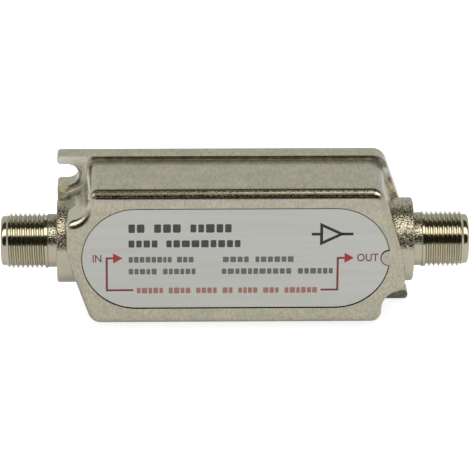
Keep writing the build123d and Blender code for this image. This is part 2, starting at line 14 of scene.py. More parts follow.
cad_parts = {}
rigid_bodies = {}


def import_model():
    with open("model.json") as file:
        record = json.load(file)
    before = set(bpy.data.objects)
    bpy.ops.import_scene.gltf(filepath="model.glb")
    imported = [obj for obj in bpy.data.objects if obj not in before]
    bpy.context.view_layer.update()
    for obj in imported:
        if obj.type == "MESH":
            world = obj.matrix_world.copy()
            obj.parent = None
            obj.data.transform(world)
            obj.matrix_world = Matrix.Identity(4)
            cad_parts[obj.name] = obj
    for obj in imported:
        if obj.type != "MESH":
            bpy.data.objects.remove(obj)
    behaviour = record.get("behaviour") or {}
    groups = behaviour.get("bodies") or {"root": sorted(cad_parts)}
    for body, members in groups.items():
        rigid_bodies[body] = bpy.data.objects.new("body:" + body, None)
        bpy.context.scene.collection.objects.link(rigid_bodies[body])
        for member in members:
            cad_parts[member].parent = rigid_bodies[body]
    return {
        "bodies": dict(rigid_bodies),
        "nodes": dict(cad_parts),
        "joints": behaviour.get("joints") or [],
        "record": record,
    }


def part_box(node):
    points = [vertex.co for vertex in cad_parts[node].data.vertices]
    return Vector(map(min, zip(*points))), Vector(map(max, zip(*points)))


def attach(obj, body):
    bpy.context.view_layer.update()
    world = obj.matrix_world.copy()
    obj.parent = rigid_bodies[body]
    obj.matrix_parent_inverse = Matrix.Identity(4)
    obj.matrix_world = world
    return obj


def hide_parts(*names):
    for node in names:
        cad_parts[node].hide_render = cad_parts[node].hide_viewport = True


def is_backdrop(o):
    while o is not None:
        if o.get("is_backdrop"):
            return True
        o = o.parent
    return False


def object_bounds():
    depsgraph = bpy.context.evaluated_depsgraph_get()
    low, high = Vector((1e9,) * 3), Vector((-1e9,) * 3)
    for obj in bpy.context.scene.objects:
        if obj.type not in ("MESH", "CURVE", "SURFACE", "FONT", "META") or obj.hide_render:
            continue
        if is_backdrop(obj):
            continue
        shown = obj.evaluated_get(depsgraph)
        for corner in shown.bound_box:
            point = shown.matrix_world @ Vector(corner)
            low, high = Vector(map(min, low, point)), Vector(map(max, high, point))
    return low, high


Colour = tuple[float, float, float]
Place = tuple[float, float, float]
Point = tuple[float, float]

MM = 0.001
BODY = "root"
LOG = logging.getLogger("amplifier")
WHITE: Colour = (1.0, 1.0, 1.0)
NOISE_MIDDLE = 0.5
# The height of the ports' axis above the table, in mm.
AXIS_HEIGHT = 13.55


class Signal:
    """A socket that takes part in Python expressions, which add Math nodes."""

    def __init__(self, tree: bpy.types.NodeTree, socket: bpy.types.NodeSocket) -> None:
        """Wraps an output socket, which gives a number, of a node in the tree."""
        self.tree = tree
        self.socket = socket

    def calculate(
        self, operation: str, *terms: "Signal | float", clamp: bool = False
    ) -> "Signal":
        """Adds one Math node.

        Args:
            operation: The Math node's operation.
            terms: Its inputs, in order.
            clamp: Whether the result is kept between 0 and 1.

        Returns:
            The node's result.
        """
        node = self.tree.nodes.new("ShaderNodeMath")
        node.operation = operation
        node.use_clamp = clamp
        for slot, term in zip(node.inputs, terms):
            if isinstance(term, Signal):
                self.tree.links.new(term.socket, slot)
            else:
                slot.default_value = term
        return Signal(self.tree, node.outputs[0])

    def __add__(self, other: "Signal | float") -> "Signal":
        """Self plus other."""
        return self.calculate("ADD", self, other)

    def __sub__(self, other: "Signal | float") -> "Signal":
        """Self minus other."""
        return self.calculate("SUBTRACT", self, other)

    def __rsub__(self, other: float) -> "Signal":
        """Other minus self."""
        return self.calculate("SUBTRACT", other, self)

    def __mul__(self, other: "Signal | float") -> "Signal":
        """Self times other."""
        return self.calculate("MULTIPLY", self, other)

    def __pow__(self, other: float) -> "Signal":
        """Self to the power of other."""
        return self.calculate("POWER", self, other)

    def __abs__(self) -> "Signal":
        """Self without its sign."""
        return self.calculate("ABSOLUTE", self)

    __radd__ = __add__
    __rmul__ = __mul__

    def highest(self, other: "Signal | float") -> "Signal":
        """The larger of self and other."""
        return self.calculate("MAXIMUM", self, other)

    def sine(self) -> "Signal":
        """The sine of self, in radians."""
        return self.calculate("SINE", self)

    def angle_over(self, level: "Signal") -> "Signal":
        """The angle, in radians, of a way that goes self up and the given length level."""
        return self.calculate("ARCTAN2", self, level)

    def over(self, low: float, high: float) -> "Signal":
        """A soft step from 0 at low to 1 at high, which may be the lower of the two."""
        share = self.calculate("MULTIPLY", self - low, 1 / (high - low), clamp=True)
        return share * share * (3 - 2 * share)

    def within(self, low: float, high: float, edge: float) -> "Signal":
        """A soft window that is 1 between low and high and 0 an edge's width outside them."""
        return self.over(low - edge, low) * self.over(high + edge, high)


class Board:
    """A node tree with one method that adds any node."""

    def __init__(self, tree: bpy.types.NodeTree, prefix: str = "ShaderNode") -> None:
        """Keeps the tree.

        Args:
            tree: A material's, a world's or a modifier's node tree, which is emptied.
            prefix: What the type of most of its nodes begins with.
        """
        self.tree = tree
        self.prefix = prefix
        tree.nodes.clear()

    def add(self, kind: str, settings: dict | None = None, **sockets) -> bpy.types.Node:
        """Adds a node.

        Args:
            kind: The node's type, in full or without the tree's usual prefix.
            settings: Properties that are set first; "stops" are a ramp's positions and colours.
            sockets: Values, nodes or signals for its inputs, by name with _ for a space.

        Returns:
            The node.
        """
        node = self.tree.nodes.new(kind if "Node" in kind else self.prefix + kind)
        for name, value in (settings or {}).items():
            if name == "stops":
                self._set_stops(node.color_ramp, value)
            else:
                setattr(node, name, value)
        for name, value in sockets.items():
            self.feed(node, name.replace("_", " "), value)
        return node

    def feed(self, node: bpy.types.Node, name: str | int, value: object) -> None:
        """Sets or links one input of a node.

        Args:
            node: The node.
            name: The input's name or number.
            value: A number, a colour, a signal, a socket or a node.
        """
        if isinstance(name, int):
            slot = node.inputs[name]
        else:
            slot = next(slot for slot in node.inputs if slot.name == name and slot.enabled)
        if isinstance(value, Signal):
            self.tree.links.new(value.socket, slot)
        elif isinstance(value, bpy.types.NodeSocket):
            self.tree.links.new(value, slot)
        elif isinstance(value, bpy.types.Node):
            self.tree.links.new(value.outputs[0], slot)
        elif isinstance(value, tuple) and len(value) == 3 and slot.type == "RGBA":
            slot.default_value = (*value, 1)
        else:
            slot.default_value = value

    def signal(self, node: bpy.types.Node, output: str | int = 0) -> Signal:
        """One output of a node as a signal."""
        return Signal(self.tree, node.outputs[output])

    def mix(self, share: Signal | float, first: object, second: object) -> bpy.types.NodeSocket:
        """Blends two colours.

        Args:
            share: 0 for the first, 1 for the second.
            first: A colour, socket or node.
            second: A colour, socket or node.

        Returns:
            The blended colour's socket.
        """
        node = self.tree.nodes.new("ShaderNodeMix")
        node.data_type = "RGBA"
        for name, value in (("Factor", share), ("A", first), ("B", second)):
            self.feed(node, name, value)
        return next(slot for slot in node.outputs if slot.enabled)

    def both(self, first: bpy.types.Node, second: bpy.types.Node) -> bpy.types.Node:
        """Adds two shaders.

        Args:
            first: The one shader.
            second: The other.

        Returns:
            The node that adds them.
        """
        node = self.add("AddShader")
        self.feed(node, 0, first)
        self.feed(node, 1, second)
        return node

    @staticmethod
    def _set_stops(ramp: bpy.types.ColorRamp, stops: list[tuple[float, Colour]]) -> None:
        """Gives a ramp its stops.

        Args:
            ramp: The ramp.
            stops: Positions and colours, in order.
        """
        while len(ramp.elements) > 1:
            ramp.elements.remove(ramp.elements[-1])
        for i, (position, colour) in enumerate(stops):
            element = ramp.elements[0] if i == 0 else ramp.elements.new(position)
            element.position = position
            element.color = (*colour, 1)


class Surface:
    """A material under construction: its node tree and the place on the piece, in mm."""

    def __init__(self, name: str) -> None:
        """Starts the material.

        Args:
            name: The material's name.
        """
        self.material = bpy.data.materials.new(name)
        self.material.use_nodes = True
        self.board = Board(self.material.node_tree)
        place = self.board.add("TexCoord").outputs["Object"]
        self.place = self.board.add(
            "VectorMath", {"operation": "SCALE"}, Vector=place, Scale=1 / MM
        )
        axes = self.board.add("SeparateXYZ", Vector=self.place)
        self.x, self.y, self.z = (self.board.signal(axes, i) for i in range(3))
        self.height = self.z - AXIS_HEIGHT
        self.radius = (self.y * self.y + self.height * self.height) ** 0.5

    def cells(self, size: float) -> Signal:
        """Distance to the middle of the nearest of many cells, as a share of their size in mm."""
        return self.board.signal(self.board.add("TexVoronoi", Vector=self.place, Scale=1 / size))

    def relief(self, height: Signal) -> bpy.types.Node:
        """A bump whose height is in mm."""
        return self.board.add("Bump", Height=height, Distance=MM, Strength=1.0)

    def finish(self, **sockets) -> bpy.types.Material:
        """Adds the shader.

        Args:
            sockets: The shader's inputs, by name with _ for a space.

        Returns:
            The material.
        """
        shader = self.board.add("BsdfPrincipled", **sockets)
        self.board.add("OutputMaterial", Surface=shader)
        return self.material


@dataclass(frozen=True)
class Rise:
    """A soft step of a value: 0 at the start and 1 at the end, which may be the lower."""

    start: float
    end: float

    def of(self, value: Signal) -> Signal:
        """The step at a value."""
        return value.over(self.start, self.end)


@dataclass(frozen=True)
class Span:
    """A soft window of a value: 1 from low to high and 0 an edge's width outside them."""

    low: float
    high: float
    edge: float

    def of(self, value: Signal) -> Signal:
        """The window at a value."""
        return value.within(self.low, self.high, self.edge)


@dataclass(frozen=True)
class Grain:
    """Cloudy noise, with grains of one width in mm or of three, along X, Y and Z.

    Without a rise it is a number round 0.5. With one it is patches, from 0 to 1.
    """

    size: float | tuple[float, float, float]
    detail: float = 2.0
    rise: Rise | None = None

    def on(self, s: Surface) -> Signal:
        """Adds the noise to a material.

        Args:
            s: The material.

        Returns:
            The noise.
        """
        widths = self.size if isinstance(self.size, tuple) else (self.size,) * 3
        node = s.board.add("VectorMath", {"operation": "MULTIPLY"})
        s.board.feed(node, 0, s.place)
        s.board.feed(node, 1, tuple(1 / width for width in widths))
        noise = s.board.add("TexNoise", Vector=node, Scale=1.0, Detail=self.detail)
        signal = s.board.signal(noise)
        return self.rise.of(signal) if self.rise else signal


@dataclass(frozen=True)
class CastZones:
    """Where each kind of surface is on the casting.

    Reach is the distance from the middle along X, in mm. The others go from 0 to 1: the ports,
    the casting round them, the sandy skin of the collars, the round along the front face's top
    and the two scoops for screw heads.
    """

    reach: Signal
    port: Signal
    cast: Signal
    sand: Signal
    edge: Signal
    scoop: Signal


@dataclass(frozen=True)
class PaintedShade:
    """Painted shade on the casting: its flange's root, front edge and label groove. In mm, with
    heights from the ports' axis.
    """

    # Painted shade: a dark line in the flange's root, in uneven patches, and streaky shade on the
    # top and bottom faces just in front of the flange.
    flange_face: float = 4.7
    flange_height: Rise = Rise(10.8, 11.6)
    flange_length: Span = Span(-24.0, 40.0, 0.6)
    root: Span = Span(4.54, 4.71, 0.04)
    root_share: float = 0.75
    patchiness: Grain = Grain((1.3, 0.8, 0.8), 3.0, Rise(0.32, 0.58))
    root_patch_share: float = 0.3
    near_flange: Rise = Rise(3.8, 0.3)
    before_flange: Rise = Rise(4.7, 4.6)
    streaks: Grain = Grain((0.6, 2.5, 2.5), 2.0, Rise(0.25, 0.75))
    streak_share: float = 0.25
    # Painted shade over the highlight on the round along the front face's top: lighter at its back
    # and to the right, where the highlight shows, and broken by small gaps.
    bright_length: Rise = Rise(-26.0, 28.0)
    bright_depth: Rise = Rise(-7.38, -7.26)
    bright_share: float = 0.50
    edge_breaks: Grain = Grain(0.16, 2.0, Rise(0.40, 0.62))
    edge_break_share: float = 0.16
    # Painted shade in the groove round the label.
    groove_depth: Span = Span(-7.62, -7.3, 0.05)
    groove_share: float = 0.8
    recess_half_length: float = 26.01
    recess_half_height: float = 9.25
    recess_rim: Rise = Rise(0.35, 0.20)

    def on(self, s: Surface, zones: CastZones) -> Signal:
        """Adds up the painted shade: the flange's root, the front edge and the label's groove.

        Args:
            s: The material.
            zones: Where each kind of surface is.

        Returns:
            0 for no painted shade, 1 for full painted shade.
        """
        level = self.flange_height.of(abs(s.height)) * self.flange_length.of(s.x)
        patchiness = 1 - self.root_patch_share + self.root_patch_share * self.patchiness.on(s)
        root = self.root.of(s.y) * level * patchiness
        near = self.near_flange.of(abs(s.y - self.flange_face)) * self.before_flange.of(s.y)
        streaks = near * level * self.streaks.on(s)
        corner = (root * self.root_share + streaks * self.streak_share) * zones.cast
        bright = self.bright_length.of(s.x) * self.bright_depth.of(s.y) * self.bright_share
        edge = zones.edge * (1 - bright) * (1 - self.edge_break_share * self.edge_breaks.on(s))
        groove = self.groove_depth.of(s.y) * self._recess(s, zones) * self.groove_share
        return corner.highest(edge).highest(groove)

    def _recess(self, s: Surface, zones: CastZones) -> Signal:
        """Finds the label's recess, which is a bar with round ends.

        Args:
            s: The material.
            zones: Where each kind of surface is.

        Returns:
            1 inside the recess, 0 outside it.
        """
        bend = self.recess_half_length - self.recess_half_height
        beyond = (zones.reach - bend).highest(0.0)
        away = (beyond * beyond + s.height * s.height) ** 0.5
        return self.recess_rim.of(away - self.recess_half_height)


@dataclass(frozen=True)
class CastNickel:
    """Bright nickel over a die casting: fair faces, sandy collars and cut threads.

    In mm, with heights from the ports' axis.
    """

    name: str = "cast_nickel"
    colour: Colour = (0.672, 0.610, 0.468)
    cool: Colour = (0.606, 0.594, 0.464)
    grey: Colour = (0.435, 0.41, 0.325)
    # A lighter tone for painted light on the scoops' walls and the flange's lip.
    painted_light: Colour = (0.76, 0.735, 0.645)
    # A dark tone for the pits and for the painted shade.
    tarnish_and_shade: Colour = (0.075, 0.062, 0.038)
    # Where each zone begins and ends: outwards along X, round the ports' axis, in depth and
    # in height. The scoops lie where X times the height, in square mm, is far below 0.
    port_radius: Rise = Rise(7.3, 7.2)
    collar_reach: Rise = Rise(26.5, 26.7)
    neck_reach: Rise = Rise(30.2, 30.4)
    thread_reach: Rise = Rise(31.5, 31.7)
    neck_fairness: float = 0.25
    sand_height: Span = Span(2.0, 6.4, 1.2)
    least_sand: float = 0.25
    edge_depth: Span = Span(-7.56, -7.02, 0.12)
    edge_height: Rise = Rise(9.0, 10.0)
    edge_length: Span = Span(-23.4, 22.8, 0.7)
    scoop_reach: Rise = Rise(23.0, 24.6)
    scoop_corners: Rise = Rise(-120.0, -160.0)
    # The patches of each colour, and how strong they are.
    clouds: Grain = Grain(4.5, 3.0, Rise(0.40, 0.60))
    specks: Grain = Grain((0.35, 1.6, 0.8), 3.0, Rise(0.42, 0.66))
    speck_share: float = 0.6
    blotches: Grain = Grain((3.2, 1.6, 1.6), 4.0, Rise(0.36, 0.64))
    blotch_share: float = 0.26
    pepper: Grain = Grain((0.8, 0.26, 0.26), 2.0, Rise(0.36, 0.64))
    pepper_share: float = 0.30
    port_share: float = 0.28
    # Painted light on the scoops' walls and on the flange's lip near the ends.
    wall_depth: Span = Span(-7.2, 4.72, 0.04)
    wall_share: float = 0.65
    lip_depth: Span = Span(4.65, 4.72, 0.03)
    lip_reach: Rise = Rise(21.5, 23.0)
    lip_share: float = 0.8
    pits: Grain = Grain(0.27, 1.0, Rise(0.46, 0.62))
    pitted_sand: Rise = Rise(0.2, 0.85)
    pit_share: float = 0.9
    # Painted shade at the flange's root, on the front edge's highlight and in the label's groove.
    tone_shift: PaintedShade = PaintedShade()
    # The grain of each skin, and how high it stands.
    skin: Grain = Grain(0.34)
    skin_relief: float = 0.012
    least_relief: float = 0.001
    sand: Grain = Grain(0.29, 1.0)
    sand_relief: float = 0.095
    edge_relief: float = 0.05
    grit: Grain = Grain(0.16, 1.0)
    grit_relief: float = 0.030
    edge_grit_relief: float = 0.02
    # The roughness, and what each zone adds to it.
    roughness: float = 0.14
    haze: Grain = Grain(1.6)
    haze_roughness: float = 0.10
    sand_roughness: float = 0.13
    root_start: Rise = Rise(2.2, 4.1)
    root_end: Rise = Rise(4.68, 4.60)
    root_roughness: float = 0.36
    scoop_roughness: float = 0.02

    def make(self) -> bpy.types.Material:
        """Builds the material.

        Returns:
            The material.
        """
        s = Surface(self.name)
        zones = self._zones(s)
        return s.finish(
            Base_Color=self._tint(s, zones),
            Metallic=1.0,
            Roughness=self._roughness(s, zones),
            Normal=s.relief(self._height(s, zones)),
        )

    def _zones(self, s: Surface) -> CastZones:
        """Finds where each kind of surface is.

        Args:
            s: The material.

        Returns:
            The zones.
        """
        reach = abs(s.x)
        near_port = self.port_radius.of(s.radius)
        port = self.collar_reach.of(reach) * near_port
        cut = self.thread_reach.of(reach) * near_port
        sand = port * (1 - cut) * (1 - self.neck_fairness * self.neck_reach.of(reach))
        sand = sand * (self.least_sand + (1 - self.least_sand) * self.sand_height.of(s.height))
        cast = 1 - port
        edge = self.edge_depth.of(s.y) * self.edge_height.of(s.height) * self.edge_length.of(s.x)
        scoop = self.scoop_reach.of(reach) * self.scoop_corners.of(s.x * s.height)
        return CastZones(reach, port, cast, sand, edge * cast, scoop * cast)

    def _tint(self, s: Surface, zones: CastZones) -> bpy.types.NodeSocket:
        """Mixes the colour.

        Args:
            s: The material.
            zones: Where each kind of surface is.

        Returns:
            The colour.
        """
        mix = s.board.mix
        tint = mix(self.clouds.on(s), self.colour, self.cool)
        tint = mix(self.specks.on(s) * zones.cast * self.speck_share, tint, self.grey)
        mottle = self.blotches.on(s) * self.blotch_share + self.pepper.on(s) * self.pepper_share
        tint = mix(mottle * zones.cast + zones.port * self.port_share, tint, self.grey)
        # Painted light: the scoops' walls, and the flange's lip near the ends, are lightened.
        wall = zones.scoop * self.wall_depth.of(s.y) * self.wall_share
        lip = self.lip_depth.of(s.y) * self.lip_reach.of(zones.reach) * zones.cast
        tint = mix(wall.highest(lip * self.lip_share), tint, self.painted_light)
        pits = self.pits.on(s) * self.pitted_sand.of(zones.sand)
        tint = mix(pits * self.pit_share, tint, self.tarnish_and_shade)
        # Painted shade, in the dark tone.
        return mix(self.tone_shift.on(s, zones), tint, self.tarnish_and_shade)

    def _height(self, s: Surface, zones: CastZones) -> Signal:
        """Adds up the relief.

        Args:
            s: The material.
            zones: Where each kind of surface is.

        Returns:
            The height in mm.
        """
        skin = self.skin.on(s) * (zones.cast * self.skin_relief + self.least_relief)
        coarse = zones.sand * self.sand_relief + zones.edge * self.edge_relief
        fine = zones.sand * self.grit_relief + zones.edge * self.edge_grit_relief
        return skin + self.sand.on(s) * coarse + self.grit.on(s) * fine

    def _roughness(self, s: Surface, zones: CastZones) -> Signal:
        """Adds up the roughness.

        Args:
            s: The material.
            zones: Where each kind of surface is.

        Returns:
            The roughness.
        """
        haze = self.haze_roughness * zones.cast * self.haze.on(s)
        rough = self.roughness + haze + self.sand_roughness * zones.sand
        root = self.root_start.of(s.y) * self.root_end.of(s.y) * zones.cast
        return rough + root * self.root_roughness + zones.scoop * self.scoop_roughness


@dataclass(frozen=True)
class BrushedFoil:
    """Silver foil, finely brushed along X. Sizes in mm."""

    name: str = "brushed_foil"
    colour: Colour = (0.69, 0.69, 0.64)
    shade: Colour = (0.635, 0.64, 0.60)
    hairs: Grain = Grain((9.0, 1.0, 0.07))
    hair_share: float = 0.6
    hair_relief: float = 0.0006
    bands: Grain = Grain((30.0, 4.0, 1.2), 1.0)
    contrast: Rise = Rise(0.35, 0.65)
    roughness: float = 0.36
    swing: float = 0.12

    def make(self) -> bpy.types.Material:
        """Builds the material.

        Returns:
            The material.
        """
        s = Surface(self.name)
        hairs = self.hairs.on(s)
        brushing = hairs * self.hair_share + self.bands.on(s) * (1 - self.hair_share)
        tone = s.board.mix(self.contrast.of(brushing), self.shade, self.colour)
        rough = self.roughness + (hairs - NOISE_MIDDLE) * self.swing
        relief = s.relief(hairs * self.hair_relief)
        return s.finish(Base_Color=tone, Metallic=1.0, Roughness=rough, Normal=relief)


@dataclass(frozen=True)
class PrintInk:
    """Screen-printed ink that lies slightly unevenly. Sizes in mm."""

    name: str
    colour: Colour
    worn: Colour
    lay: Grain = Grain(0.25)
    lay_relief: float = 0.002
    tone_shift: Rise = Rise(0.45, 0.75)
    roughness: float = 0.38
    swing: float = 0.2

    def make(self) -> bpy.types.Material:
        """Builds the material.

        Returns:
            The material.
        """
        s = Surface(self.name)
        lay = self.lay.on(s)
        tone = s.board.mix(self.tone_shift.of(lay), self.colour, self.worn)
        rough = self.roughness + lay * self.swing
        return s.finish(Base_Color=tone, Roughness=rough, Normal=s.relief(lay * self.lay_relief))


class Lay(Enum):
    """Which way the tool marks of a metal run: a mark's widths along X, Y and Z, in mm."""

    ALONG = (8.0, 8.0, 0.12)
    ROUND = (0.12, 0.12, 0.12)
    TURNED = (0.10, 30.0, 30.0)


@dataclass(frozen=True)
class WorkedMetal:
    """Rolled, drawn, turned or plated metal with tool marks and faint stains. Sizes in mm."""

    name: str
    colour: Colour
    stain: Colour
    roughness: float
    lay: Lay = Lay.ROUND
    mark_relief: float = 0.0015
    stain_size: float = 3.0
    stain_detail: float = 3.0
    stain_rise: Rise = Rise(0.50, 0.72)
    mark_swing: float = 0.16
    stain_swing: float = 0.08

    def make(self) -> bpy.types.Material:
        """Builds the material.

        Returns:
            The material.
        """
        s = Surface(self.name)
        marks = Grain(self.lay.value).on(s)
        patchiness = Grain(self.stain_size, self.stain_detail).on(s)
        tone = s.board.mix(self.stain_rise.of(patchiness), self.colour, self.stain)
        rough = self.roughness + (marks - NOISE_MIDDLE) * self.mark_swing
        rough = rough + patchiness * self.stain_swing
        relief = s.relief(marks * self.mark_relief)
        return s.finish(Base_Color=tone, Metallic=1.0, Roughness=rough, Normal=relief)


@dataclass(frozen=True)
class Moulded:
    """Moulded, sintered or fired matter with a fine grain. Sizes in mm."""

    name: str
    colour: Colour
    fleck: Colour
    roughness: float
    fleck_size: float = 0.12
    grain_relief: float = 0.003
    fleck_rise: Rise = Rise(0.35, 0.10)
    fleck_share: float = 0.5
    clouds: Grain = Grain(1.5)
    cloud_share: float = 0.3
    swing: float = 0.2

    def make(self) -> bpy.types.Material:
        """Builds the material.

        Returns:
            The material.
        """
        s = Surface(self.name)
        flecks = self.fleck_rise.of(s.cells(self.fleck_size)) * self.fleck_share
        clouds = self.clouds.on(s) * self.cloud_share
        tone = s.board.mix(flecks + clouds, self.colour, self.fleck)
        grain = Grain(self.fleck_size).on(s)
        rough = self.roughness + (grain - NOISE_MIDDLE) * self.swing
        relief = s.relief(grain * self.grain_relief)
        return s.finish(Base_Color=tone, Roughness=rough, Normal=relief)


@dataclass(frozen=True)
class Laminate:
    """Green solder resist over woven glass, whose weave shows faintly. Sizes in mm."""

    name: str = "board_resist"
    colour: Colour = (0.012, 0.075, 0.028)
    thread: Colour = (0.030, 0.120, 0.045)
    pitch: float = 0.55
    weave_share: float = 0.6
    weave_relief: float = 0.004
    clouds: Grain = Grain(2.5)
    cloud_share: float = 0.3
    roughness: float = 0.28
    swing: float = 0.12

    def make(self) -> bpy.types.Material:
        """Builds the material.

        Returns:
            The material.
        """
        s = Surface(self.name)
        turn = 2 * math.pi / self.pitch
        weave = (s.x * turn).sine() * (s.z * turn).sine() * 0.5 + 0.5
        share = weave * self.weave_share + self.clouds.on(s) * self.cloud_share
        tone = s.board.mix(share, self.colour, self.thread)
        rough = self.roughness + weave * self.swing
        relief = s.relief(weave * self.weave_relief)
        return s.finish(Base_Color=tone, Roughness=rough, Normal=relief)


def mm_box(node: str) -> tuple[Vector, Vector]:
    """A CAD node's lowest and highest corners in mm."""
    low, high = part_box(node)
    return Vector(low) / MM, Vector(high) / MM


def metres(x: float, y: float, z: float) -> Place:
    """A place in metres, from mm whose height counts from the ports' axis."""
    return x * MM, y * MM, (z + AXIS_HEIGHT) * MM


def linked(name: str, data: bpy.types.ID) -> bpy.types.Object:
    """Puts an object into the scene.

    Args:
        name: The object's name.
        data: Its mesh, curve, lamp or camera.

    Returns:
        The object.
    """
    thing = bpy.data.objects.new(name, data)
    bpy.context.scene.collection.objects.link(thing)
    return thing


def mesh_of(form: bmesh.types.BMesh, name: str) -> bpy.types.Mesh:
    """Makes a form a mesh.

    Args:
        form: The form, which is freed.
        name: The mesh's name.

    Returns:
        The mesh.
    """
    mesh = bpy.data.meshes.new(name)
    form.to_mesh(mesh)
    form.free()
    return mesh


def baked(source: bpy.types.Object) -> bpy.types.Mesh:
    """Applies an object's modifiers.

    Args:
        source: The object, which is removed.

    Returns:
        What it shows, as a plain mesh.
    """
    bpy.context.view_layer.update()
    graph = bpy.context.evaluated_depsgraph_get()
    mesh = bpy.data.meshes.new_from_object(source.evaluated_get(graph))
    bpy.data.objects.remove(source)
    return mesh


def smooth(mesh: bpy.types.Mesh, angle: float = 32.0) -> None:
    """Shades a mesh smooth between faces that meet at less than the angle, in degrees."""
    mesh.polygons.foreach_set("use_smooth", [True] * len(mesh.polygons))
    mesh.set_sharp_from_angle(angle=math.radians(angle))


def dress(frame: dict, finishes: dict[str, object]) -> None:
    """Gives CAD nodes their finishes.

    Args:
        frame: The loaded frame.
        finishes: A finish for each node's name.
    """
    made: dict[object, bpy.types.Material] = {}
    for name, finish in finishes.items():
        if finish not in made:
            made[finish] = finish.make()
        data = frame["nodes"][name].data
        data.materials.clear()
        data.materials.append(made[finish])
        LOG.info("node %s: %s", name, finish.name)


def add_piece(
    name: str, mesh: bpy.types.Mesh, material: bpy.types.Material, slot: str
) -> bpy.types.Object:
    """Makes a mesh in metres a piece of the object.

    Args:
        name: The piece's name.
        mesh: Its mesh, with its place in it.
        material: Its only material.
        slot: The record's material slot; not used.

    Returns:
        The piece's object.
    """
    mesh.name = name
    mesh.materials.clear()
    mesh.materials.append(material)
    piece = linked(name, mesh)
    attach(piece, BODY)
    LOG.info("piece %s: %d faces", name, len(mesh.polygons))
    return piece


@dataclass(frozen=True)
class Block:
    """One letter's block: its middle along X and Z, its width and its height, in mm."""

    x: float
    z: float
    width: float
    height: float


@dataclass(frozen=True)
class TextRow:
    """One row of small print, whose words are shown as blocks. Places in mm from the middle.

    The gap after each letter, the space between words and a letter's least and greatest width
    are in shares of the widest letter.
    """

    start: float
    end: float
    low: float
    high: float
    words: tuple[int, ...]
    cover: float = 0.80
    gap: float = 0.22
    space: float = 0.62
    letters: Point = (0.62, 1.0)

    def blocks(self, seed: int) -> list[Block]:
        """Spreads one block for each letter over the row.

        Args:
            seed: Fixes the letters' widths.

        Returns:
            The blocks.
        """
        dice = random.Random(seed)
        widths: list[float] = []
        for i, count in enumerate(self.words):
            widths += [-self.space] * (i > 0)
            widths += [dice.uniform(*self.letters) for _ in range(count)]
        total = sum(abs(width) + self.gap for width in widths) - self.gap
        unit = (self.end - self.start) / total
        middle = (self.low + self.high) / 2
        x = self.start
        height = (self.high - self.low) * self.cover
        blocks = []
        for width in widths:
            reach = abs(width) * unit
            if width > 0:
                blocks.append(Block(x + reach / 2, middle, reach, height))
            x += reach + self.gap * unit
        return blocks


